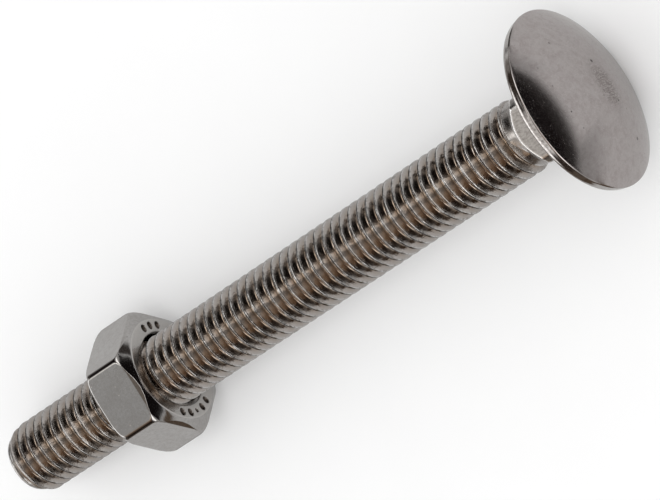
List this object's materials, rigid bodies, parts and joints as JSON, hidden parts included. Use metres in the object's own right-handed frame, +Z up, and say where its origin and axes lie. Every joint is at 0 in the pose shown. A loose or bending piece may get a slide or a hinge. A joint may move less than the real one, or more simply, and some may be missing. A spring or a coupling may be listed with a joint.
{
  "type": "carriage bolt",
  "caption": "Cup-head carriage bolt with a square neck, a fully threaded shank and a chamfered hexagon nut run onto it, for clamping timber or steel through a plain or square hole.",
  "frame": {"origin": "centre of the footprint box, on the plane the bolt lies on", "axes": "+Z up; +X towards the head, along the bolt's plan direction (the axis rises 3.1 degrees towards the head); +Y completes the right-handed frame"},
  "size_m": [0.0842, 0.02, 0.0201],
  "materials": {
    "bolt_steel": "plain stainless steel, cold formed, with a satin head and a rolled thread",
    "nut_steel": "plain stainless steel, machined, with softly broken corners"
  },
  "bodies": {
    "bolt": {"carriage_bolt": "bolt_steel"},
    "nut": {"hex_nut": "nut_steel"}
  },
  "joints": [
    {"name": "nut_travel", "type": "slide", "parent": "bolt", "child": "nut", "axis": [0.9985, 0, 0.0546], "range_m": [-0.0225, 0.04875]}
  ]
}
